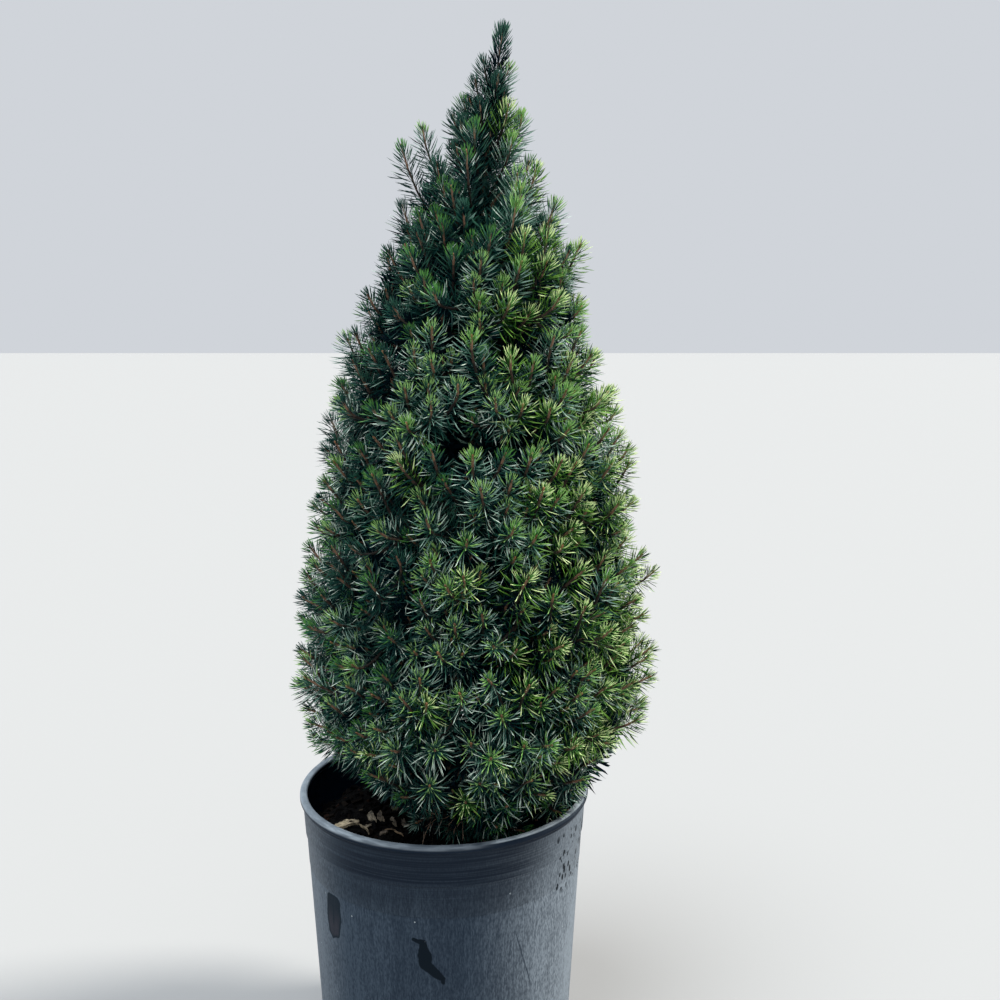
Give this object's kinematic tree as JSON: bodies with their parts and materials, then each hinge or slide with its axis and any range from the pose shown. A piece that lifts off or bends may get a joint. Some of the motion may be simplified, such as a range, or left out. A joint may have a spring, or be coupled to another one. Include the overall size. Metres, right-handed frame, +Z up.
{
  "type": "potted dwarf conical spruce",
  "caption": "Dense cone-shaped dwarf conifer in a round black nursery pot, with a trunk, whorls of boughs and masses of short needles.",
  "frame": {"origin": "middle of the pot's flat underside", "axes": "+Z up along the pot's axis and the trunk; -Y towards the viewer of the picture, +X to the viewer's right"},
  "size_m": [0.2095, 0.2044, 0.584],
  "materials": {
    "pot_plastic": "black moulded plastic, satin under a dry grey-blue film of dust and old water marks",
    "potting_mix": "moist, coarse bark-based potting mix",
    "bark": "thin grey-brown bark, scaly and rough",
    "needles": "short green needles with a slight waxy gloss, yellow-green at the shoot tips"
  },
  "bodies": {
    "root": {"bough_high_1": "bark", "bough_high_2": "bark", "bough_high_3": "bark", "bough_low_1": "bark", "bough_low_2": "bark", "bough_low_3": "bark", "bough_low_4": "bark", "bough_low_5": "bark", "bough_middle_1": "bark", "bough_middle_2": "bark", "bough_middle_3": "bark", "bough_middle_4": "bark", "bough_shoulder_1": "bark", "bough_shoulder_2": "bark", "bough_shoulder_3": "bark", "bough_shoulder_4": "bark", "bough_skirt_1": "bark", "bough_skirt_2": "bark", "bough_skirt_3": "bark", "bough_skirt_4": "bark", "bough_skirt_5": "bark", "bough_waist_1": "bark", "bough_waist_2": "bark", "bough_waist_3": "bark", "bough_waist_4": "bark", "bough_waist_5": "bark", "leader_tuft": "needles", "needles_high_1": "needles", "needles_high_2": "needles", "needles_high_3": "needles", "needles_low_1": "needles", "needles_low_2": "needles", "needles_low_3": "needles", "needles_low_4": "needles", "needles_low_5": "needles", "needles_middle_1": "needles", "needles_middle_2": "needles", "needles_middle_3": "needles", "needles_middle_4": "needles", "needles_shoulder_1": "needles", "needles_shoulder_2": "needles", "needles_shoulder_3": "needles", "needles_shoulder_4": "needles", "needles_skirt_1": "needles", "needles_skirt_2": "needles", "needles_skirt_3": "needles", "needles_skirt_4": "needles", "needles_skirt_5": "needles", "needles_spire_1": "needles", "needles_spire_2": "needles", "needles_spire_3": "needles", "needles_waist_1": "needles", "needles_waist_2": "needles", "needles_waist_3": "needles", "needles_waist_4": "needles", "needles_waist_5": "needles", "pot": "pot_plastic", "potting_mix": "potting_mix", "trunk": "bark"}
  },
  "joints": []
}
